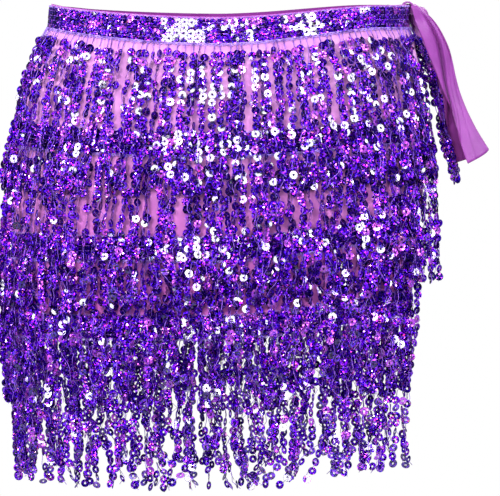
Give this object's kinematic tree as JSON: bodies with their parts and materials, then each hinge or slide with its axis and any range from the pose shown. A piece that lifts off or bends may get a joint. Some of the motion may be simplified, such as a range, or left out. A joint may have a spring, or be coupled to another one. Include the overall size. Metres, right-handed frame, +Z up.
{
  "type": "belly dance hip scarf",
  "caption": "Knit hip wrap tied at one side, worn round, with tiers of hanging sequin fringe under sequin bands; hollow for the wearer, open in a slit under the tie.",
  "frame": {"origin": "centre of the waist, inside the waistband, where the wearer holds it", "axes": "+Z up, front of the body towards -Y, the tied side and its slit towards +X"},
  "size_m": [0.3513, 0.2427, 0.3475],
  "materials": {
    "base_knit": "matte fine jersey knit, orchid purple",
    "tie_knit": "satin-faced stretch knit, magenta purple",
    "sequin_fringe": "cupped film sequins, violet with a rainbow lustre, on fine lilac thread"
  },
  "bodies": {
    "root": {"main_panel": "base_knit", "waist_tape": "tie_knit", "fringe_tier_1": "sequin_fringe", "fringe_tier_2": "sequin_fringe", "fringe_tier_3": "sequin_fringe", "fringe_tier_4": "sequin_fringe", "tie_loop": "tie_knit", "tie_knot": "tie_knit", "tie_tail_front": "tie_knit", "tie_tail_rear": "tie_knit"}
  },
  "joints": []
}
